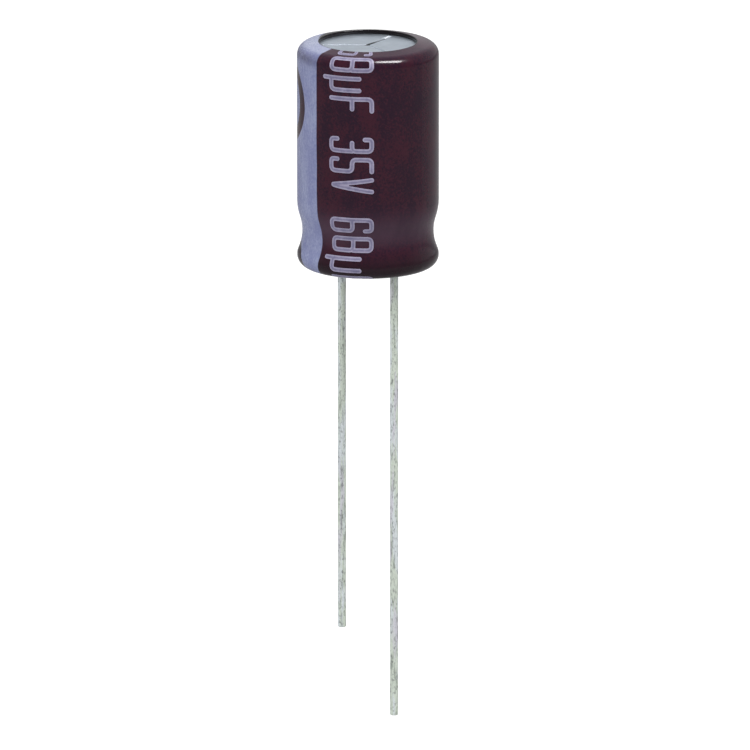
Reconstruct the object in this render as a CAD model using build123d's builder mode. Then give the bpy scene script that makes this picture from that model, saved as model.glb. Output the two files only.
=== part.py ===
from build123d import *
from math import atan2, cos, degrees, radians, sin, tan
import os

# Radial aluminium electrolytic capacitor in a shrunk plastic sleeve, with long straight leads.
# Origin at the centre of the seating plane, under the body. The can's axis is +Z, the leads
# run down -Z, the positive one at +X and the negative one at -X. Millimetres and degrees.

# the case
can_dia = 10.0
body_height = 16.7        # seating plane to the sleeve's top rim
can_wall = 0.30
can_corner = 0.85         # outer radius round the can's closed top
shoulder_z = 4.62         # where the can's side starts to lean into the bead
shoulder_round = 0.8
bead_depth = 0.95         # of the rolled groove's corner, inside the can's side
bead_round = 0.6
can_flare = 30            # lean of the wall from the bead down to the foot
foot_round = 0.86         # radius of the sleeved foot

# the sleeve
sleeve_wall = 0.13
sleeve_fit = 0.02         # air left between the shrunk sleeve and the can
sleeve_shoulder_z = 4.38
upper_lean = 17.3         # how the sleeve spans the bead: lean above the neck
lower_lean = 20.9         # and below it
sleeve_shoulder_round = 3.5
neck_round = 3.38
top_corner = 0.82
lip_reach = 1.6           # how far the sleeve laps in over the can's top, from its side
base_reach = 1.2          # and under the foot
lip_edge = 0.28           # the top lip thickens to this at its rim
lip_round = 0.06          # both cut edges

# pressure vent scored in the can's top
vent_arms = 3
vent_margin = 0.35        # from an arm's end to the sleeve's rim
vent_turn = 100.5         # direction of the first arm
vent_inner = (0.12, 0.06)  # groove width and depth at the centre
vent_outer = (0.34, 0.16)  # and at the end of an arm

# the rubber seal
seal_fit = 0.03
seal_bottom = 0.45
seal_top = 4.2
curl_gap = 0.04           # above the can's curled edge
stem_gap = 0.08           # beside it, where the seal's stem passes through the foot

# leads and terminals
lead_pitch = 5.0
lead_dia = 0.6
positive_length = 33.4    # seating plane to tip, the positive lead is the long one
negative_length = 27.6
lead_chamfer = 0.05
weld_dia = 0.84           # a lead widens to this where it is welded to its terminal
stud_dia = 1.5
stud_bottom = 1.1
stud_head = 0.1           # round part of the stud above the seal
bore_fit = 0.03
wire_bore_fit = 0.06
tab_width = 1.8
tab_thickness = 0.25
flattening = 0.7          # height over which the round stud turns into its flat tab
tab_depth = 8.0           # how far a tab reaches up into the roll

# the wound roll
anode_thickness = 0.11
cathode_thickness = 0.05
paper_thickness = 0.08
layer_gap = 0.02
core_radius = 0.75        # hollow left by the winding mandrel
roll_fit = 0.15           # between the taped roll and the can
roll_base_gap = 0.9       # between the seal and the roll
roll_headroom = 0.2
foil_inset = 0.6          # the papers stand this far past the foils at both ends
tab_room = 0.5            # how far the turns part round a tab
tape_thickness = 0.06
tape_width = 7.0

# derived sizes
can_radius = can_dia / 2
can_top = body_height - lip_edge - sleeve_fit
sleeve_radius = can_radius + sleeve_fit + sleeve_wall
rim_radius = sleeve_radius - lip_reach
foot_centre = sleeve_radius - foot_round
can_foot_round = foot_round - sleeve_wall - sleeve_fit
stem_radius = foot_centre - can_foot_round - stem_gap
foot_corner = foot_centre + foot_round / tan(radians(45 - lower_lean / 2))
neck_z = (foot_corner - sleeve_radius + sleeve_shoulder_z * tan(radians(upper_lean))) / (
    tan(radians(lower_lean)) + tan(radians(upper_lean)))
neck_radius = foot_corner - neck_z * tan(radians(lower_lean))
lip_slope = degrees(atan2(lip_edge - sleeve_wall, lip_reach - top_corner))
lip_drop = lip_reach * tan(radians(lip_slope))
foot_start = (foot_centre + can_foot_round * cos(radians(can_flare)),
              foot_round + can_foot_round * sin(radians(can_flare)))
bead_radius = can_radius - bead_depth
bead_z = foot_start[1] + (foot_start[0] - bead_radius) / tan(radians(can_flare))
stud_top = seal_top + stud_head
tab_bottom = stud_top + flattening
roll_bottom = seal_top + roll_base_gap
roll_top = can_top - can_wall - roll_headroom
roll_middle = (roll_bottom + roll_top) / 2

# places of the four strips, measured outwards from the spiral that the roll follows
paper_1_at = anode_thickness + layer_gap
cathode_at = paper_1_at + paper_thickness + layer_gap
paper_2_at = cathode_at + cathode_thickness + layer_gap
pitch = paper_2_at + paper_thickness + layer_gap
half_pitch = pitch / 2
bulge = tab_room / 2
roll_radius = can_radius - can_wall - roll_fit - tape_thickness
last_half = int((roll_radius - core_radius - tab_room - pitch) / half_pitch - 0.5)
half_count = last_half + last_half % 2

# each tab lies where the roll is as wide as the leads: the cathode's after an even number
# of half turns, which end at -X, and the anode's after an odd number, which end at +X
halves_to_leads = (lead_pitch / 2 - core_radius - tab_thickness / 2) / half_pitch
cathode_half = 2 * int((halves_to_leads - cathode_at / half_pitch) / 2)
anode_half = cathode_half + 1
anode_tab_x = core_radius + (anode_half + 0.5) * half_pitch + tab_thickness / 2
cathode_tab_x = -(core_radius + (cathode_half + 0.5) * half_pitch + cathode_at
                  + tab_thickness / 2)


def can_outline():
    """The can's outer face, from the axis down to the edge curled in under the seal."""
    side = FilletPolyline((0, can_top), (can_radius, can_top), (can_radius, shoulder_z),
                          (bead_radius, bead_z), foot_start,
                          radius=[can_corner, shoulder_round, bead_round])
    JernArc(start=side @ 1, tangent=side % 1, radius=can_foot_round,
            arc_size=-(180 + can_flare))


def groove_section(distance, size):
    """A V groove's section, across a vent arm at this distance from the centre."""
    width, depth = size
    with BuildSketch(Plane.YZ.offset(distance)) as section:
        with BuildLine():
            Polyline((-width / 2, can_top), (width / 2, can_top), (0, can_top - depth),
                     close=True)
        make_face()
    return section.sketch


def make_lead(x, length):
    """A tinned wire from its tip up to the weld under the terminal."""
    with BuildPart() as lead:
        with BuildSketch(Plane.XY.offset(-length)):
            with Locations((x, 0)):
                Circle(lead_dia / 2)
        extrude(amount=length)
        chamfer(lead.edges().group_by(Axis.Z)[0], lead_chamfer)
        for height, diameter in ((0, lead_dia), (stud_bottom, weld_dia)):
            with BuildSketch(Plane.XY.offset(height)):
                with Locations((x, 0)):
                    Circle(diameter / 2)
        loft()
    return lead.part


def make_terminal(stud_x, tab_x):
    """An aluminium stud, round in the seal and pressed flat where it enters the roll."""
    with BuildPart() as terminal:
        with BuildSketch(Plane.XY.offset(stud_bottom)):
            with Locations((stud_x, 0)):
                Circle(stud_dia / 2)
        extrude(amount=stud_top - stud_bottom)
        with BuildSketch(Plane.XY.offset(stud_top)):
            with Locations((stud_x, 0)):
                Circle(stud_dia / 2)
        with BuildSketch(Plane.XY.offset(tab_bottom)):
            with Locations((tab_x, 0)):
                Rectangle(tab_thickness, tab_width)
        loft()
        with BuildSketch(Plane.XY.offset(tab_bottom)):
            with Locations((tab_x, 0)):
                Rectangle(tab_thickness, tab_width)
        extrude(amount=tab_depth)
    return terminal.part


def half_turns(first, last, cathode_step):
    """Centre and radius of each half turn. Even ones run over +Y from +X to -X, odd ones back.

    From cathode_step on, the turns pass outside the cathode's tab at -X, and from
    anode_half on outside the anode's at +X: each tab moves the centre and adds to the radius.
    """
    arcs = []
    for half in range(first, last):
        left = bulge if half >= cathode_step else 0
        right = bulge if half >= anode_half else 0
        centre = half_pitch / 2 * (1 if half % 2 else -1) + right - left
        arcs.append((centre, core_radius + half * half_pitch + left + right, half % 2))
    return arcs


def wind(arcs, inside, thickness, bottom, top):
    """A strip wound along the arcs, its inner face this far outside them."""
    with BuildPart() as strip:
        with BuildSketch(Plane.XY.offset(bottom)):
            with BuildLine():
                for out in (inside, inside + thickness):
                    for centre, radius, odd in arcs:
                        CenterArc((centre, 0), radius + out, 180 * odd, 180)
                for (centre, radius, odd), end in ((arcs[0], 1), (arcs[-1], -1)):
                    way = -end if odd else end
                    Line((centre + way * (radius + inside), 0),
                         (centre + way * (radius + inside + thickness), 0))
            make_face()
        extrude(amount=top - bottom)
    return strip.part


with BuildPart() as sleeve:
    with BuildSketch(Plane.XZ) as wall:
        with BuildLine():
            FilletPolyline((sleeve_radius - base_reach, 0), (foot_corner, 0), (neck_radius, neck_z),
                           (sleeve_radius, sleeve_shoulder_z),
                           (sleeve_radius, body_height - lip_drop), (rim_radius, body_height),
                           radius=[foot_round, neck_round, sleeve_shoulder_round, top_corner])
            offset(amount=sleeve_wall, side=Side.LEFT)
        make_face()
        # the lip's gathered edge lies down on the can
        lip_face = rim_radius - sleeve_wall * sin(radians(lip_slope))
        thick_to = rim_radius + (lip_edge - sleeve_wall / cos(radians(lip_slope))) / tan(
            radians(lip_slope))
        with BuildLine():
            Polyline((rim_radius, body_height),
                     (lip_face, body_height - sleeve_wall * cos(radians(lip_slope))),
                     (lip_face, can_top + sleeve_fit), (thick_to, can_top + sleeve_fit),
                     close=True)
        make_face()
        for edge in ((rim_radius, body_height), (sleeve_radius - base_reach, 0)):
            fillet(wall.vertices().sort_by_distance(edge)[0], lip_round)
    revolve(axis=Axis.Z)
sleeve.part.label = "sleeve"

with BuildPart() as vent_groove:
    loft([groove_section(0, vent_inner), groove_section(rim_radius - vent_margin, vent_outer)])

with BuildPart() as can:
    with BuildSketch(Plane.XZ):
        with BuildLine():
            can_outline()
            offset(amount=can_wall, side=Side.RIGHT)
        make_face()
    revolve(axis=Axis.Z)
    with PolarLocations(0, vent_arms, start_angle=vent_turn):
        add(vent_groove.part, mode=Mode.SUBTRACT)
can.part.label = "can"

with BuildPart() as seal:
    with BuildSketch(Plane.XZ):
        with BuildLine():
            can_outline()
            offset(amount=can_wall + seal_fit, side=Side.RIGHT, closed=False)
            Polyline((foot_centre - can_foot_round + can_wall + seal_fit, foot_round),
                     (0, foot_round), (0, can_top - can_wall - seal_fit))
        make_face()
        with Locations((0, foot_round + curl_gap)):
            Rectangle(can_radius, seal_top - foot_round - curl_gap,
                      align=(Align.MIN, Align.MIN), mode=Mode.INTERSECT)
        with Locations((0, seal_bottom)):
            Rectangle(stem_radius, foot_round + curl_gap - seal_bottom,
                      align=(Align.MIN, Align.MIN))
    revolve(axis=Axis.Z)
    with Locations((-lead_pitch / 2, 0, seal_top), (lead_pitch / 2, 0, seal_top)):
        CounterBoreHole(radius=weld_dia / 2 + wire_bore_fit,
                        counter_bore_radius=stud_dia / 2 + bore_fit,
                        counter_bore_depth=seal_top - stud_bottom)
seal.part.label = "seal"

positive_lead = make_lead(lead_pitch / 2, positive_length)
negative_lead = make_lead(-lead_pitch / 2, negative_length)
positive_terminal = make_terminal(lead_pitch / 2, anode_tab_x)
negative_terminal = make_terminal(-lead_pitch / 2, cathode_tab_x)

foil_bottom = roll_bottom + foil_inset
foil_top = roll_top - foil_inset
anode_foil = wind(half_turns(1, half_count - 2, cathode_half + 2),
                  0, anode_thickness, foil_bottom, foil_top)
inner_separator = wind(half_turns(0, half_count, cathode_half + 2),
                       paper_1_at, paper_thickness, roll_bottom, roll_top)
cathode_foil = wind(half_turns(1, half_count - 1, cathode_half),
                    cathode_at, cathode_thickness, foil_bottom, foil_top)
outer_separator = wind(half_turns(0, half_count, cathode_half),
                       paper_2_at, paper_thickness, roll_bottom, roll_top)

# the tape goes once round the roll and half way round again, over its own start
tape_arcs = half_turns(half_count - 2, half_count, cathode_half)
tape_right = tape_arcs[1][0] + tape_arcs[1][1]
tape_left = tape_arcs[0][0] - tape_arcs[0][1] - tape_thickness - layer_gap
tape_arcs.append(((tape_right + tape_left) / 2, (tape_right - tape_left) / 2, 0))
fixing_tape = wind(tape_arcs, pitch, tape_thickness,
                   roll_middle - tape_width / 2, roll_middle + tape_width / 2)

pieces = {
    "sleeve": sleeve.part,
    "can": can.part,
    "seal": seal.part,
    "positive_lead": positive_lead,
    "negative_lead": negative_lead,
    "positive_terminal": positive_terminal,
    "negative_terminal": negative_terminal,
    "anode_foil": anode_foil,
    "inner_separator": inner_separator,
    "cathode_foil": cathode_foil,
    "outer_separator": outer_separator,
    "fixing_tape": fixing_tape,
}
os.makedirs("parts", exist_ok=True)
for name, piece in pieces.items():
    piece.label = name
    export_step(piece, f"parts/{name}.step")
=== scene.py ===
import math

import bpy
import numpy as np
from mathutils import Matrix, Vector
from mathutils.bvhtree import BVHTree


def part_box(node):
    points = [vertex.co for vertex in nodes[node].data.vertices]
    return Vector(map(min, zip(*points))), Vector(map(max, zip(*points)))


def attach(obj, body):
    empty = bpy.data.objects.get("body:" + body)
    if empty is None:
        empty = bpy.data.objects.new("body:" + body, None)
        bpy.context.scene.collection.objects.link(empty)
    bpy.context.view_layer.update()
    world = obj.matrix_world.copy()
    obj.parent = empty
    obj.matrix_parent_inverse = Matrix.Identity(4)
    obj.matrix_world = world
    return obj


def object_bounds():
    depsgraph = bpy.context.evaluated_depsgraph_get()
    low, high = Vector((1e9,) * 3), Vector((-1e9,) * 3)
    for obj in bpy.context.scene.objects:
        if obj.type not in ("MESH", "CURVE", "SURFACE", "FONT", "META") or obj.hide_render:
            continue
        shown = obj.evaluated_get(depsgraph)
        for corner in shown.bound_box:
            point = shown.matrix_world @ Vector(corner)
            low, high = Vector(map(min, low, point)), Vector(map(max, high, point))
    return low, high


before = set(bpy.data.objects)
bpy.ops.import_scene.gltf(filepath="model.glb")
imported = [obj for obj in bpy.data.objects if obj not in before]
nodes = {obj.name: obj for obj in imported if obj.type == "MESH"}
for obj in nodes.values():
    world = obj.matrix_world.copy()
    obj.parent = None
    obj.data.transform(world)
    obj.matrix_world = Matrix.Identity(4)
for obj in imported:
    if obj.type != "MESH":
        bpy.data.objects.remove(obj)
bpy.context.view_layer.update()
low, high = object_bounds()
mm = 0.001
tiny = 1e-9  # keeps a division clear of zero
print("frame loaded with", len(nodes), "nodes")


class Wire:
    # a socket of a material, where Python's operators add the Math nodes
    def __init__(self, finish, socket):
        self.finish = finish
        self.socket = socket

    def maths(self, operation, *values):
        sockets = dict(enumerate((self,) + values))
        return self.finish.add("ShaderNodeMath", {"operation": operation}, sockets)

    def __add__(self, other):
        return self.maths("ADD", other)

    def __radd__(self, other):
        return self.maths("ADD", other)

    def __sub__(self, other):
        return self.maths("SUBTRACT", other)

    def __rsub__(self, other):
        return self.maths("MULTIPLY_ADD", -1.0, other)

    def __neg__(self):
        return self.maths("MULTIPLY", -1.0)

    def __mul__(self, other):
        return self.maths("MULTIPLY", other)

    def __rmul__(self, other):
        return self.maths("MULTIPLY", other)

    def __truediv__(self, other):
        return self.maths("DIVIDE", other)

    def __abs__(self):
        return self.maths("ABSOLUTE")

    def smallest(self, other):
        return self.maths("MINIMUM", other)

    def largest(self, other):
        return self.maths("MAXIMUM", other)

    def sibling(self, index):
        return Wire(self.finish, self.socket.node.outputs[index])


class Shading:
    # the nodes of a material or a world
    def __init__(self, owner):
        self.owner = owner
        owner.use_nodes = True
        self.tree = owner.node_tree

    def add(self, kind, settings, sockets):
        # a node of any kind: its settings first, then the values or wires of its sockets
        node = self.tree.nodes.new(kind)
        for key, value in settings.items():
            setattr(node, key, value)
        for key, value in sockets.items():
            if isinstance(value, Wire):
                self.tree.links.new(value.socket, node.inputs[key])
            else:
                node.inputs[key].default_value = value
        return Wire(self, node.outputs[0])

    def dot(self, first, second):
        # how far one vector reaches along the other
        sockets = {0: first, 1: second}
        return self.add("ShaderNodeVectorMath", {"operation": "DOT_PRODUCT"}, sockets).sibling(1)

    def step(self, value, start, end, to=(0.0, 1.0)):
        # a smooth rise from to[0] at start to to[1] at end
        sockets = {0: value, 1: start, 2: end, 3: to[0], 4: to[1]}
        return self.add("ShaderNodeMapRange", {"interpolation_type": "SMOOTHSTEP"}, sockets)


class Finish(Shading):
    # a procedural material on Object coordinates, worked in millimetres
    def __init__(self, name, **fixed):
        super().__init__(bpy.data.materials.new(name))
        self.shader = self.tree.nodes["Principled BSDF"]
        for socket, value in fixed.items():
            self.shader.inputs[socket.replace("_", " ")].default_value = value
        place = self.add("ShaderNodeTexCoord", {}, {}).sibling(3)
        self.place = self.add("ShaderNodeVectorMath", {"operation": "SCALE"}, {0: place, 3: 1 / mm})
        self.x = self.add("ShaderNodeSeparateXYZ", {}, {0: self.place})
        self.y, self.z = self.x.sibling(1), self.x.sibling(2)

    def noise(self, stretch, detail, rough=0.55, warp=0.0):
        # stretch is how many blotches a millimetre holds along each axis
        spread = self.add("ShaderNodeMapping", {}, {0: self.place, 3: stretch})
        sockets = {"Vector": spread, "Scale": 1.0, "Detail": detail}
        sockets.update({"Roughness": rough, "Distortion": warp})
        return self.add("ShaderNodeTexNoise", {}, sockets)

    def mix(self, mask, first, second):
        # first where the mask is 0, second where it is 1
        first, second = [c if isinstance(c, Wire) else (*c, 1.0) for c in (first, second)]
        return self.add("ShaderNodeMix", {"data_type": "RGBA"}, {0: mask, 6: first, 7: second}).sibling(2)

    def finish(self, colour, roughness, height, depth, metallic=None):
        # depth is the height of the bump in millimetres
        bump = self.add("ShaderNodeBump", {}, {"Height": height, "Distance": depth * mm})
        links = {"Base Color": colour, "Roughness": roughness, "Normal": bump, "Metallic": metallic}
        for socket, value in links.items():
            if value is not None:
                self.tree.links.new(value.socket, self.shader.inputs[socket])
        return self.owner


def colourOf(red, green, blue):
    # a colour written as 0 to 255 values, turned to the linear light that shaders use
    shares = np.array([red, green, blue]) / 255
    return tuple(np.where(shares < 0.04045, shares / 12.92, ((shares + 0.055) / 1.055) ** 2.4))


camera = {
    "azimuth": 40.5,  # degrees round from the front
    "elevation": 13.95,
    "lens": 1000.0,  # a long lens, so the sides of the can stay parallel
    "distance": 1.516,
    "aimRight": 0.51 * mm,
    "aimUp": 0.09 * mm,
}

room = {
    "floorSize": 6.0,
    "floorColour": (0.42, 0.42, 0.42),
    "floorGlow": 0.76,  # lifts the floor to white, and leaves a faint shadow
    "skyLight": 0.56,  # what the walls of the room give to matt surfaces
    "skyColour": (0.97, 0.98, 1.0),
    "mirrorBehind": 0.56,  # what glossy surfaces see of the wall behind the can
    "mirrorFront": 0.3,  # and of the open room in front of it
    "mirrorTurn": (-0.3, 0.5),  # how far forward a ray points where the one turns into the other
}

# each lamp: how far right of, behind and above the can, its two sides, its power and its colour,
# and whether it lights matt surfaces and whether glossy ones mirror it
lamps = {
    "overhead": {
        "place": (0.168, -0.099, 0.37),
        "sides": (0.30, 0.15),
        "watts": 1.3,
        "colour": (1.0, 0.99, 1.0),
        "matt": True,
        "mirrored": False,
    },
    "highlight": {
        "place": (0.181, -0.137, 0.351),
        "sides": (0.24, 0.11),
        "watts": 3.3,
        "colour": (1.0, 0.99, 1.0),
        "matt": False,
        "mirrored": True,
    },
    "leftFill": {
        "place": (-0.42, -0.44, 0.20),
        "sides": (0.50, 0.50),
        "watts": 1.9,
        "colour": (0.97, 0.98, 1.0),
        "matt": True,
        "mirrored": False,
    },
}

turn = math.radians(camera["azimuth"])
tilt = math.radians(camera["elevation"])
toRight = Vector((math.cos(turn), math.sin(turn), 0.0))
toBack = Vector((-math.sin(turn), math.cos(turn), 0.0))
toCamera = Vector((0.0, 0.0, 1.0)) * math.sin(tilt) - toBack * math.cos(tilt)
middle = (low + high) / 2


def makeCamera():
    # the camera stands back from its aim along the view's own direction
    data = bpy.data.cameras.new("camera")
    data.lens, data.sensor_width = camera["lens"], 36.0
    data.clip_start, data.clip_end = 0.01, 20.0
    item = bpy.data.objects.new("camera", data)
    bpy.context.scene.collection.objects.link(item)
    aim = middle + toRight * camera["aimRight"] + Vector((0, 0, camera["aimUp"]))
    item.location = aim + toCamera * camera["distance"]
    item.rotation_euler = (-toCamera).to_track_quat("-Z", "Y").to_euler()
    bpy.context.scene.camera = item


def makeLamp(name, lamp):
    # a soft box that faces the middle of the can's body
    data = bpy.data.lights.new(name, "AREA")
    data.shape, (data.size, data.size_y) = "RECTANGLE", lamp["sides"]
    data.energy, data.color = lamp["watts"], lamp["colour"]
    item = bpy.data.objects.new(name, data)
    bpy.context.scene.collection.objects.link(item)
    right, back, up = lamp["place"]
    target = Vector((0, 0, high.z / 2))
    item.location = target + toRight * right + toBack * back + Vector((0, 0, up))
    away = (item.location - target).normalized()
    across = (toRight - away * toRight.dot(away)).normalized()
    item.rotation_euler = Matrix((across, away.cross(across), away)).transposed().to_euler()
    item.visible_camera = False
    item.visible_diffuse, item.visible_glossy = lamp["matt"], lamp["mirrored"]


def makeWorld():
    # white where it is seen, an even grey light for matt surfaces, and for glossy ones
    # a pale wall behind the can that darkens towards the open room in front of it
    world = Shading(bpy.data.worlds.new("room"))
    bpy.context.scene.world = world.owner
    path = world.add("ShaderNodeLightPath", {}, {})
    isCamera, isGlossy, isTransmission = path, path.sibling(3), path.sibling(6)
    way = world.add("ShaderNodeTexCoord", {}, {})
    levels = (room["mirrorBehind"], room["mirrorFront"])
    mirror = world.step(world.dot(way, -toBack), *room["mirrorTurn"], levels)
    seen = isCamera.largest(isTransmission)
    level = seen + isGlossy * mirror + (1 - seen.largest(isGlossy)) * room["skyLight"]
    sky = world.tree.nodes["Background"]
    sky.inputs["Color"].default_value = (*room["skyColour"], 1)
    world.tree.links.new(level.socket, sky.inputs["Strength"])


def makeFloor():
    # one square at the height of the longer lead's tip
    half = room["floorSize"] / 2
    mesh = bpy.data.meshes.new("floor")
    corners = [(x * half, y * half, low.z) for x, y in ((-1, -1), (1, -1), (1, 1), (-1, 1))]
    mesh.from_pydata(corners, [], [(0, 1, 2, 3)])
    floor = bpy.data.objects.new("floor", mesh)
    bpy.context.scene.collection.objects.link(floor)
    paper = Shading(bpy.data.materials.new("floor"))
    shader = paper.tree.nodes["Principled BSDF"]
    shader.inputs["Base Color"].default_value = (*room["floorColour"], 1)
    shader.inputs["Roughness"].default_value = 1.0
    shader.inputs["Specular IOR Level"].default_value = 0.0
    shader.inputs["Emission Color"].default_value = (1, 1, 1, 1)
    path = paper.add("ShaderNodeLightPath", {}, {})
    glow = path.largest(path.sibling(6)) * room["floorGlow"]
    paper.tree.links.new(glow.socket, shader.inputs["Emission Strength"])
    mesh.materials.append(paper.owner)


bpy.context.scene.view_settings.view_transform = "Standard"
makeCamera()
makeWorld()
makeFloor()
for lampName, lampValues in lamps.items():
    makeLamp(lampName, lampValues)
print("camera, floor and", len(lamps), "lamps placed")


sleeveLook = {
    "radius": 5.15,  # mm, the sleeve's own wall
    "vinyl": colourOf(38, 15, 34),
    "vinylWarm": colourOf(57, 20, 36),
    # painted light: a sheen band at the neck and the lip's flat lit from above
    "vinylLit": colourOf(74, 52, 68),
    # painted shade for the downward-facing foot
    "vinylShaded": colourOf(26, 13, 21),
    # the film's dark cut edge, deepened to near-black with painted shadow; also the painted shadow
    # crescent on the lip
    "cutEdgeAndShadow": colourOf(14, 8, 12),
    "rimRadius": 3.55,  # mm, the edge where the sleeve was cut
    "stripe": colourOf(127, 132, 172),
    "stripePale": colourOf(150, 156, 187),
    # painted light: the stripe's colour on the lip's upward flat
    "stripeLipLit": colourOf(186, 192, 210),
    "stripeFront": -95.8,  # degrees round from +X
    "stripeRear": -184.0,
    "stripeDrift": 0.22,  # mm that shrinking pulled the edge aside at the neck
    "neckHeight": 2.6,  # mm, the middle of the neck, and how far its drift and painted sheen spread
    "neckSpread": 2.2,
    "neckSheenRise": 1.0,  # mm that the painted sheen band lies above the neck
    "warmFrom": (0.42, 0.58),  # of the noise, between which the vinyl turns warm
    "paleFrom": (0.38, 0.62),  # and between which the stripe turns pale
    "footShadeFade": (2.4, 0.6),  # mm, the heights between which painted shade darkens the vinyl
    "footShadeShare": 0.8,  # how much of the painted shade colour the foot takes
    "lipStart": (15.6, 16.0),  # mm, the heights between which the lip begins
    "lipTop": (4.9, 4.5),  # mm from the axis, where the corner turns into the lip's flat
    "lipLightShare": 0.8,  # how much painted light pales the vinyl on the flat, and the stripe
    "stripeLipLightShare": 0.4,
    "cutAndShadowWidth": (0.1, 0.04),  # mm of dark cut edge round the opening, deepened with painted shadow
    "rimShadeMiddle": -209.5,  # degrees, the widest place of the lip's painted shadow crescent
    "rimShadeSpread": 4.0,  # mm round the wall on each side
    "rimShadeWidth": 1.3,  # mm outwards at its middle
    "rimShadeEdge": (3.5, 3.28),
    "edgeWave": 0.05,  # mm that the edges of the print waver, and that they fade over
    "edgeSoft": 0.035,
    "markMiddle": -145.0,  # degrees, the polarity marks
    "markHeight": 12.26,  # mm, the middle of the upper mark
    "markPitch": 13.16,
    "markRadius": 2.465,  # mm, to the middle of its ring's line
    "markLine": 0.46,
    "barLength": 1.15,
    "barWidth": 0.3,
    "cornerHeight": 16.0,  # mm, where the ink is stretched thin over the top corner
    "cornerSpread": 0.45,
    "cornerFade": 0.45,
    "cornerWear": (0.5, 1.3),  # the least and the most of that wear, in blotches
    "roughness": (0.13, 0.24),
    "bump": 0.006,
}


def arcFrom(finish, degrees):
    # millimetres round the sleeve's wall from a direction, up to half a turn each way
    angle = finish.y.maths("ARCTAN2", finish.x) - math.radians(degrees)
    return angle.maths("WRAP", math.pi, -math.pi) * sleeveLook["radius"]


def hump(wire, middle, spread):
    # 1 at the middle, falling away on both sides
    share = (wire - middle) / spread
    return (-(share * share)).maths("EXPONENT")


def sleeveVinyl():
    look = sleeveLook
    vinyl = Finish("sleeveVinyl", Specular_IOR_Level=0.27)
    radius = (vinyl.x * vinyl.x + vinyl.y * vinyl.y).maths("SQRT")
    wave = (vinyl.noise((0.5, 0.5, 0.5), 2.0) - 0.5) * look["edgeWave"] * 2
    soft = look["edgeSoft"]

    # the stripe lies between two edges, and the front one drifts at the neck
    drift = hump(vinyl.z, look["neckHeight"], look["neckSpread"]) * look["stripeDrift"]
    half = math.radians(look["stripeFront"] - look["stripeRear"]) / 2 * look["radius"]
    around = arcFrom(vinyl, (look["stripeFront"] + look["stripeRear"]) / 2)
    stripe = vinyl.step((half + drift - around).smallest(around + half) + wave, -soft, soft)

    # the polarity marks: rings with a bar, left bare in the stripe
    aside = arcFrom(vinyl, look["markMiddle"])
    top, pitch = look["markHeight"], look["markPitch"]
    along = vinyl.z.maths("WRAP", top + pitch / 2, top - pitch / 2) - top
    ring = abs((aside * aside + along * along).maths("SQRT") - look["markRadius"]) - look["markLine"]
    bar = (abs(aside) - look["barWidth"]).largest(abs(along) - look["barLength"])
    marks = vinyl.step(ring.smallest(bar) + wave, soft, -soft)
    printed = stripe * (1 - marks)

    # the bare vinyl is warmer in blotches, has a painted sheen at the neck and painted shade towards the
    # foot
    blotch = vinyl.noise((0.6, 0.6, 0.35), 4.0)
    speckle = vinyl.noise((6.0, 6.0, 6.0), 3.0, 0.6)
    warm = vinyl.step(blotch * 0.5 + speckle * 0.5, *look["warmFrom"])
    dark = vinyl.mix(warm, look["vinyl"], look["vinylWarm"])
    # painted sheen: a pale band of vinyl just above the neck
    neckSheen = hump(vinyl.z, look["neckHeight"] + look["neckSheenRise"], look["neckSpread"] / 2)
    dark = vinyl.mix(neckSheen * (blotch + 0.3), dark, look["vinylLit"])
    # painted shade: the vinyl darkens towards the downward-facing foot
    foot = vinyl.step(vinyl.z, *look["footShadeFade"])
    dark = vinyl.mix(foot * look["footShadeShare"], dark, look["vinylShaded"])

    # the vinyl and the stripe are painted paler on the lip's upward flat, as painted light from above,
    # and the ink is worn over the corner
    lip = vinyl.step(vinyl.z, *look["lipStart"])
    flat = lip * vinyl.step(radius, *look["lipTop"])
    dark = vinyl.mix(flat * (blotch * look["lipLightShare"]), dark, look["vinylLit"])
    faded = vinyl.step(blotch * 0.6 + speckle * 0.4, *look["paleFrom"])
    pale = vinyl.mix(faded, look["stripe"], look["stripePale"])
    thin = hump(vinyl.z, look["cornerHeight"], look["cornerSpread"]) * look["cornerFade"]
    pale = vinyl.mix(thin * vinyl.step(blotch, 0.3, 0.6, look["cornerWear"]), pale, look["vinyl"])
    # painted light: the stripe pales on the lip's upward flat
    pale = vinyl.mix(flat * look["stripeLipLightShare"], pale, look["stripeLipLit"])
    colour = vinyl.mix(printed, dark, pale)

    # the cut rim is dark, deepened with painted shadow, and a crescent behind the stripe is painted
    # shadow where a raised inside of the lip would lie in shade
    cutAndShadow = vinyl.step(radius - look["rimRadius"], *look["cutAndShadowWidth"])
    # painted shadow: a dark crescent on the lip's rear inside, standing in for a raised rim in shade
    crescent = hump(arcFrom(vinyl, look["rimShadeMiddle"]), 0.0, look["rimShadeSpread"])
    rimShade = vinyl.step(radius - crescent * look["rimShadeWidth"], *look["rimShadeEdge"]) * lip
    colour = vinyl.mix(cutAndShadow.largest(rimShade), colour, look["cutEdgeAndShadow"])

    scuffs = vinyl.noise((14.0, 14.0, 1.2), 3.0, 0.6)
    smooth, dull = look["roughness"]
    roughness = scuffs * (dull - smooth) + smooth + printed * 0.08
    ripple = vinyl.noise((0.9, 0.9, 0.5), 2.0) * 0.7 + speckle * 0.08 + printed * 0.2
    return vinyl.finish(colour, roughness, ripple, look["bump"])


ventLook = {
    "lid": (0.2, 0.18),  # mm under the can's top, as deep as the grooves go
    "groove": (0.002, 0.01),  # mm, the depths between which a groove begins
    # the vent arm that holds the painted shadow line and the painted glint
    "shadedArm": 98.2,  # degrees round from +X
    "shadeStart": (-0.35, -0.2),  # mm out along the arm from the can's axis
    "shadeEnd": (2.45, 2.65),
    "shadeWidth": (0.19, 0.1),  # mm from the arm's middle line
    "shadeWave": 0.12,
}

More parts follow.
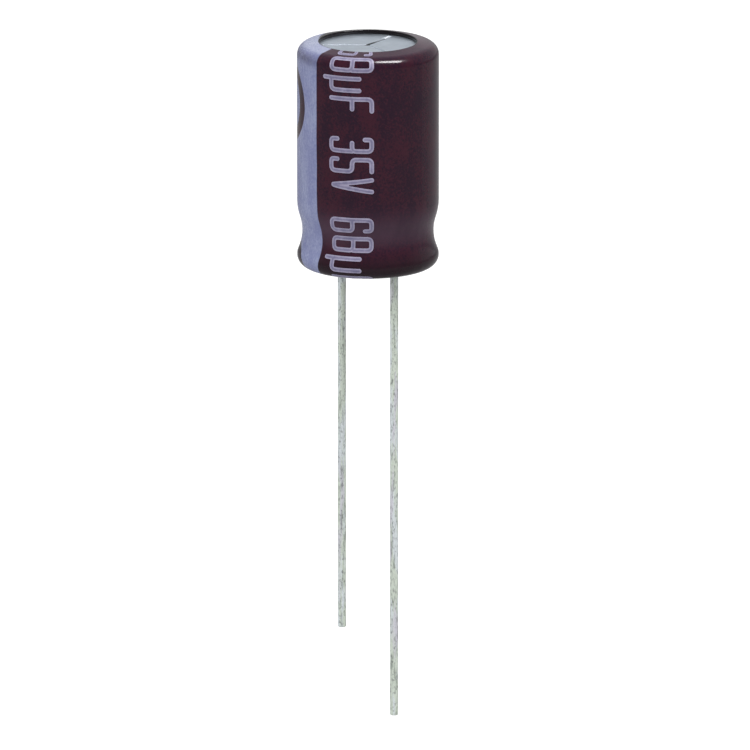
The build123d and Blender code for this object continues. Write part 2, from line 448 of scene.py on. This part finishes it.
metalLook = {
    "can": colourOf(216, 226, 236),
    "canDull": colourOf(200, 211, 222),
    # painted shadow along one arm of the vent
    "grooveShade": colourOf(24, 27, 31),
    "groove": colourOf(150, 159, 168),
    # painted glint: a near-white spot at the end of the shaded arm
    "paintedGlint": colourOf(214, 219, 224),
    "lead": colourOf(232, 239, 240),
    "leadGreen": colourOf(222, 231, 217),
    "leadLilac": colourOf(222, 221, 228),
    "leadStain": colourOf(76, 84, 82),
    "terminal": colourOf(200, 203, 205),
    "anode": colourOf(120, 122, 126),
    "cathode": colourOf(184, 187, 190),
}


def canAluminium():
    metal = Finish("canAluminium", Metallic=1.0)
    rolled = metal.noise((0.8, 22.0, 4.0), 4.0, 0.6)  # fine lines left by rolling, along +X
    cloud = metal.noise((0.7, 0.7, 0.7), 3.0)
    pits = metal.noise((16.0, 16.0, 16.0), 2.0)
    shade = metal.step(rolled * 0.5 + cloud * 0.5, 0.35, 0.65)
    colour = metal.mix(shade, metalLook["canDull"], metalLook["can"])
    # the vent's grooves are dull; one arm holds a painted shadow line along its groove and ends in a
    # painted glint, a near-white spot
    look = ventLook
    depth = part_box("can")[1].z / mm - metal.z
    lid = metal.step(depth, *look["lid"])
    groove = metal.step(depth, *look["groove"]) * lid
    lean = math.radians(look["shadedArm"])
    along = metal.dot(metal.place, (math.cos(lean), math.sin(lean), 0))
    aside = metal.dot(metal.place, (-math.sin(lean), math.cos(lean), 0))
    across = abs(aside) + (cloud - 0.5) * look["shadeWave"]
    # painted glint past the end of the painted shadow line
    paintedGlint = metal.step(along, *look["shadeEnd"])
    # painted shadow: a dark line down the middle of that arm's groove
    line = metal.step(across, *look["shadeWidth"]) * metal.step(along, *look["shadeStart"])
    grooveShade = line * lid * (1 - paintedGlint)
    colour = metal.mix(groove, colour, metalLook["groove"])
    colour = metal.mix(groove * paintedGlint, colour, metalLook["paintedGlint"])
    colour = metal.mix(grooveShade, colour, metalLook["grooveShade"])
    roughness = cloud * 0.12 + rolled * 0.12 + 0.24 + groove.largest(grooveShade) * 0.3
    metallic = 1 - groove.largest(grooveShade) * 0.9
    return metal.finish(colour, roughness, rolled * 0.6 + pits * 0.4, 0.002, metallic)


insideLook = {
    "rubber": colourOf(30, 29, 31),
    "rubberBloom": colourOf(52, 51, 52),
    "paper": colourOf(196, 180, 148),
    "paperPale": colourOf(222, 208, 178),
    "paperDamp": colourOf(164, 144, 110),
    "film": colourOf(176, 132, 74),
    "filmPale": colourOf(198, 160, 104),
}


def sealRubber():
    # moulded rubber: an even grain, with a pale bloom in wide patches
    rubber = Finish("sealRubber", Specular_IOR_Level=0.3)
    grain = rubber.noise((12.0, 12.0, 12.0), 5.0, 0.65)
    bloom = rubber.noise((0.9, 0.9, 0.9), 4.0)
    colour = rubber.mix(rubber.step(bloom, 0.35, 0.7), insideLook["rubber"], insideLook["rubberBloom"])
    return rubber.finish(colour, grain * 0.2 + 0.6, grain, 0.02)


def tinnedWire():
    # dipped tin: long soft bands of tone, and dark streaks and specks drawn out along the wire
    wire = Finish("tinnedWire", Metallic=0.2, Specular_IOR_Level=0.25)
    bands = wire.noise((2.4, 2.4, 0.3), 3.0)
    patches = wire.noise((1.4, 1.4, 0.16), 2.0)
    streaks = wire.noise((6.5, 6.5, 0.7), 3.0, 0.6, 0.3)
    specks = wire.noise((8.0, 8.0, 3.4), 3.0, 0.6, 0.5)
    grain = wire.noise((12.0, 12.0, 8.0), 3.0, 0.6)
    colour = wire.mix(wire.step(bands, 0.4, 0.54), metalLook["lead"], metalLook["leadGreen"])
    colour = wire.mix(wire.step(patches, 0.54, 0.66), colour, metalLook["leadLilac"])
    marks = wire.step(streaks, 0.5, 0.68) * 0.5 + wire.step(specks, 0.54, 0.66) * 0.55
    marks = (marks + wire.step(grain, 0.45, 0.65) * 0.14).smallest(0.75)
    colour = wire.mix(marks, colour, metalLook["leadStain"])
    return wire.finish(colour, grain * 0.2 + 0.36, streaks * -0.6 + grain * 0.4, 0.01)


def terminalAluminium():
    # pressed metal, with drawing lines along the stud
    metal = Finish("terminalAluminium", Metallic=1.0)
    drawn = metal.noise((8.0, 8.0, 0.8), 4.0, 0.6)
    cloud = metal.noise((1.2, 1.2, 1.2), 3.0)
    colour = metal.mix(cloud, metalLook["canDull"], metalLook["terminal"])
    return metal.finish(colour, drawn * 0.2 + 0.25, drawn, 0.006)


def foil(name, shade, rough, pits):
    # etched foil: matt, with a fine even pitting over faint rolling lines
    metal = Finish(name, Metallic=0.9)
    etch = metal.noise((pits, pits, pits), 3.0, 0.7)
    lines = metal.noise((6.0, 6.0, 0.4), 2.0)
    bright = tuple(share * 1.25 for share in shade)
    colour = metal.mix(metal.step(etch * 0.6 + lines * 0.4, 0.35, 0.65), shade, bright)
    return metal.finish(colour, etch * 0.2 + rough, etch * 0.7 + lines * 0.3, 0.006)


def separatorPaper():
    # fibres that run with the strip, darker where the electrolyte has soaked in
    paper = Finish("separatorPaper", Specular_IOR_Level=0.2)
    fibres = paper.noise((9.0, 9.0, 3.0), 5.0, 0.7, 1.2)
    damp = paper.noise((0.5, 0.5, 0.5), 3.0)
    colour = paper.mix(paper.step(fibres, 0.35, 0.65), insideLook["paper"], insideLook["paperPale"])
    colour = paper.mix(paper.step(damp, 0.45, 0.7) * 0.4, colour, insideLook["paperDamp"])
    return paper.finish(colour, fibres * 0.2 + 0.65, fibres, 0.02)


def tapeFilm():
    # smooth film with faint streaks and trapped air
    film = Finish("tapeFilm", Specular_IOR_Level=0.5)
    streaks = film.noise((1.5, 1.5, 8.0), 3.0)
    bubbles = film.noise((3.0, 3.0, 3.0), 2.0)
    colour = film.mix(film.step(bubbles, 0.5, 0.7), insideLook["film"], insideLook["filmPale"])
    return film.finish(colour, streaks * 0.15 + 0.2, streaks * 0.5 + bubbles * 0.5, 0.01)


def coat(material, *names):
    # puts a material on every slot of the named nodes
    for name in names:
        for slot in nodes[name].material_slots:
            slot.material = material


coat(sleeveVinyl(), "sleeve")
coat(canAluminium(), "can")
coat(sealRubber(), "seal")
coat(tinnedWire(), "positive_lead", "negative_lead")
coat(terminalAluminium(), "positive_terminal", "negative_terminal")
coat(foil("anodeEtched", metalLook["anode"], 0.55, 14.0), "anode_foil")
coat(foil("cathodeEtched", metalLook["cathode"], 0.4, 10.0), "cathode_foil")
coat(separatorPaper(), "inner_separator", "outer_separator")
coat(tapeFilm(), "fixing_tape")
print("materials made for", len(nodes), "nodes")


printLook = {
    "text": "68µF 35V ",
    "slots": 13,
    "firstSlot": 0.2,  # mm of sleeve from the rim to the first letter's middle
    "pitch": 1.5,
    "width": 1.2,  # mm along the line of text
    "height": 3.38,  # mm round the sleeve
    "baseAngle": -82.2,  # degrees round from +X, at the feet of the letters
    "stroke": 0.33,
    "corner": 0.34,  # mm, the bend of a letter's corners
    "cell": 0.035,
    "margin": 0.05,  # mm kept bare beside the sleeve's two cut edges
    "lift": 0.012,
    "film": 0.008,
    "ink": colourOf(112, 108, 138),
    "inkPale": colourOf(170, 164, 188),
}


def letterPaths(width, height):
    # each letter as the middle lines of its strokes, in a box of width by height
    half, upper, lower = height * 0.53, height * 0.84, height * 0.16
    bowl = [(0, half), (0, 0), (width, 0), (width, half)]
    return {
        "3": [[(0, upper), (0, height), (width, height), (width, half), (width * 0.3, half)],
              [(width, half), (width, 0), (0, 0), (0, lower)]],
        "5": [[(width, height), (0, height), (0, half), (width, half), (width, 0), (0, 0), (0, lower)]],
        "6": [[(width, upper), (width, height), (0, height), (0, 0), (width, 0), (width, half),
               (0, half)]],
        "8": [bowl + [(0, half)], [(0, half), (0, height), (width, height), (width, half)]],
        "F": [[(0, 0), (0, height), (width, height)], [(0, half), (width * 0.85, half)]],
        "V": [[(0, height), (width / 2, 0), (width, height)]],
        "µ": [[(0, -height * 0.18), (0, height * 0.7)],
              [(0, height * 0.1), (0, 0), (width, 0), (width, height * 0.7)]],
        " ": [],
    }


def roundedLine(points, bend, steps=6):
    # a line through the points, where a corner becomes the quadratic curve between its two shoulders
    points = [np.array(p, float) for p in points]
    line = [points[0]]
    for before, corner, after in zip(points, points[1:], points[2:]):
        arms = [before - corner, after - corner]
        reach = min([bend] + [np.linalg.norm(arm) / 2 for arm in arms])
        start, end = [corner + arm / np.linalg.norm(arm) * reach for arm in arms]
        share = np.linspace(0, 1, steps)[:, None]
        line.extend((1 - share) ** 2 * start + 2 * share * (1 - share) * corner + share ** 2 * end)
    return np.array(line + [points[-1]])


def nearestStroke(places, starts, ends):
    # the shortest distance from each place to the stroke segments, and the point it is measured to
    arms = ends - starts
    lengths = np.maximum((arms ** 2).sum(1), tiny)
    share = np.clip(((places[:, None] - starts) * arms).sum(2) / lengths, 0, 1)
    feet = starts + share[..., None] * arms
    gaps = np.linalg.norm(places[:, None] - feet, axis=2)
    best = gaps.argmin(1)
    rows = np.arange(len(places))
    return gaps[rows, best], feet[rows, best]


def letterSheet(paths, cell, stroke):
    # a flat sheet on a square grid: the cells that reach within half a stroke of a middle line,
    # with the nodes beyond that drawn back onto the stroke's edge
    lines = [roundedLine(path, printLook["corner"]) for path in paths]
    starts = np.concatenate([line[:-1] for line in lines])
    ends = np.concatenate([line[1:] for line in lines])
    least = np.minimum(starts, ends).min(0) - stroke
    most = np.maximum(starts, ends).max(0) + stroke
    across, up = [np.arange(least[i], most[i] + cell, cell) for i in (0, 1)]
    grid = np.stack(np.meshgrid(across, up, indexing="ij"), 2).reshape(-1, 2)
    gaps, feet = nearestStroke(grid, starts, ends)
    inside = (gaps < stroke / 2).reshape(len(across), len(up))
    touched = inside[:-1, :-1] | inside[1:, :-1] | inside[:-1, 1:] | inside[1:, 1:]
    i, j = np.nonzero(touched)
    corner = i * len(up) + j
    faces = np.stack([corner, corner + len(up), corner + len(up) + 1, corner + 1], 1)
    beyond = gaps > stroke / 2
    pull = feet + (grid - feet) / np.maximum(gaps, tiny)[:, None] * stroke / 2
    grid = np.where(beyond[:, None], pull, grid)
    return grid, faces, np.minimum(gaps / (stroke / 2), 1.0)


outlineRays = {
    "opening": 3.56,  # mm from the axis, the first ray onto the lip
    "cornerIn": 0.82,  # mm in from the wall, the middle of the top corner's bend
    "cornerDown": 1.0,
    "foot": 0.02,  # mm up, the last ray onto the wall
    "far": 20.0,  # mm away, where the rays start
    "counts": (12, 24, 160),  # rays onto the lip, the corner and the wall
}


def sleeveOutline():
    # the outer outline of the sleeve in its own half plane, from rays shot at it:
    # down onto the lip, in towards the middle of the top corner, and in along the wall
    rays = outlineRays
    mesh = nodes["sleeve"].data
    tree = BVHTree.FromPolygons([v.co for v in mesh.vertices], [p.vertices for p in mesh.polygons])
    wall = sleeveLook["radius"] * mm
    corner = np.array([wall - rays["cornerIn"] * mm, high.z - rays["cornerDown"] * mm])
    far = rays["far"] * mm
    onLip, onCorner, onWall = rays["counts"]
    shots = []
    for reach in np.linspace(rays["opening"] * mm, corner[0], onLip):
        shots.append(((reach, far), (0, -1)))
    for lean in np.radians(np.linspace(85, 5, onCorner)):
        aim = np.array([math.cos(lean), math.sin(lean)])
        shots.append((corner + aim * far, -aim))
    for drop in np.linspace(corner[1], rays["foot"] * mm, onWall):
        shots.append(((far, drop), (-1, 0)))
    hits = []
    for start, way in shots:
        hit = tree.ray_cast(Vector((start[0], 0, start[1])), Vector((way[0], 0, way[1])))[0]
        if hit is not None:
            hits.append((math.hypot(hit.x, hit.y), hit.z))
    return np.array(hits)


def onSleeve(flat, outline, lift):
    # a flat place (along the text, up the letter) goes to the outline's point at that distance
    # from the rim, turned round the axis, and stands off the surface by the lift
    lengths = np.concatenate([[0], np.cumsum(np.linalg.norm(np.diff(outline, axis=0), axis=1))])
    radius, height = [np.interp(flat[:, 0], lengths, outline[:, i]) for i in (0, 1)]
    slope = np.gradient(outline, lengths, axis=0)
    run, fall = [np.interp(flat[:, 0], lengths, slope[:, i]) for i in (0, 1)]
    size = np.hypot(run, fall)
    radius = radius - fall / size * lift
    height = height + run / size * lift
    angle = math.radians(printLook["baseAngle"]) + flat[:, 1] / (sleeveLook["radius"] * mm)
    return np.stack([radius * np.cos(angle), radius * np.sin(angle), height], 1), lengths[-1]


def printedInk():
    # ink that was pressed outwards, so it is thin along the middle of a stroke and full at its edge
    ink = Finish("printedInk", Specular_IOR_Level=0.4)
    blotch = ink.noise((2.6, 2.6, 2.6), 4.0, 0.6)
    grain = ink.noise((12.0, 12.0, 12.0), 3.0, 0.6)
    across = ink.add("ShaderNodeAttribute", {"attribute_name": "across"}, {}).sibling(2)
    full = across * 0.45 + blotch * 0.6 + grain * 0.25
    colour = ink.mix(ink.step(full, 0.35, 0.95), printLook["ink"], printLook["inkPale"])
    return ink.finish(colour, grain * 0.15 + 0.35, grain, 0.002)


def makePrint():
    # the letters stand in slots down the sleeve, and the text starts again when it runs out
    look = printLook
    inset = look["stroke"]
    shapes = letterPaths(look["width"] - inset, look["height"] - inset)
    outline = sleeveOutline()
    material = printedInk()
    total = 0
    for slot in range(look["slots"]):
        letter = look["text"][slot % len(look["text"])]
        if not shapes[letter]:
            continue
        flat, faces, across = letterSheet(shapes[letter], look["cell"], look["stroke"])
        flat = flat + inset / 2
        flat[:, 0] += look["firstSlot"] + slot * look["pitch"] - look["width"] / 2
        flat *= mm
        places, length = onSleeve(flat, outline, look["lift"] * mm)
        margin = look["margin"] * mm
        kept = ((flat[faces, 0] > margin) & (flat[faces, 0] < length - margin)).all(1)
        used, faces = np.unique(faces[kept], return_inverse=True)
        mesh = bpy.data.meshes.new("letter")
        mesh.from_pydata(places[used].tolist(), [], faces.reshape(-1, 4).tolist())
        values = mesh.attributes.new("across", "FLOAT", "POINT").data
        values.foreach_set("value", across[used].astype(np.float32))
        mesh.materials.append(material)
        mesh.polygons.foreach_set("use_smooth", np.ones(len(mesh.polygons), bool))
        piece = bpy.data.objects.new("print_%02d" % (slot + 1), mesh)
        bpy.context.scene.collection.objects.link(piece)
        film = piece.modifiers.new("film", "SOLIDIFY")
        film.thickness, film.offset = look["film"] * mm, 0.0
        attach(piece, "root")
        total += 1
    print("print of", total, "letters laid on the sleeve")


makePrint()
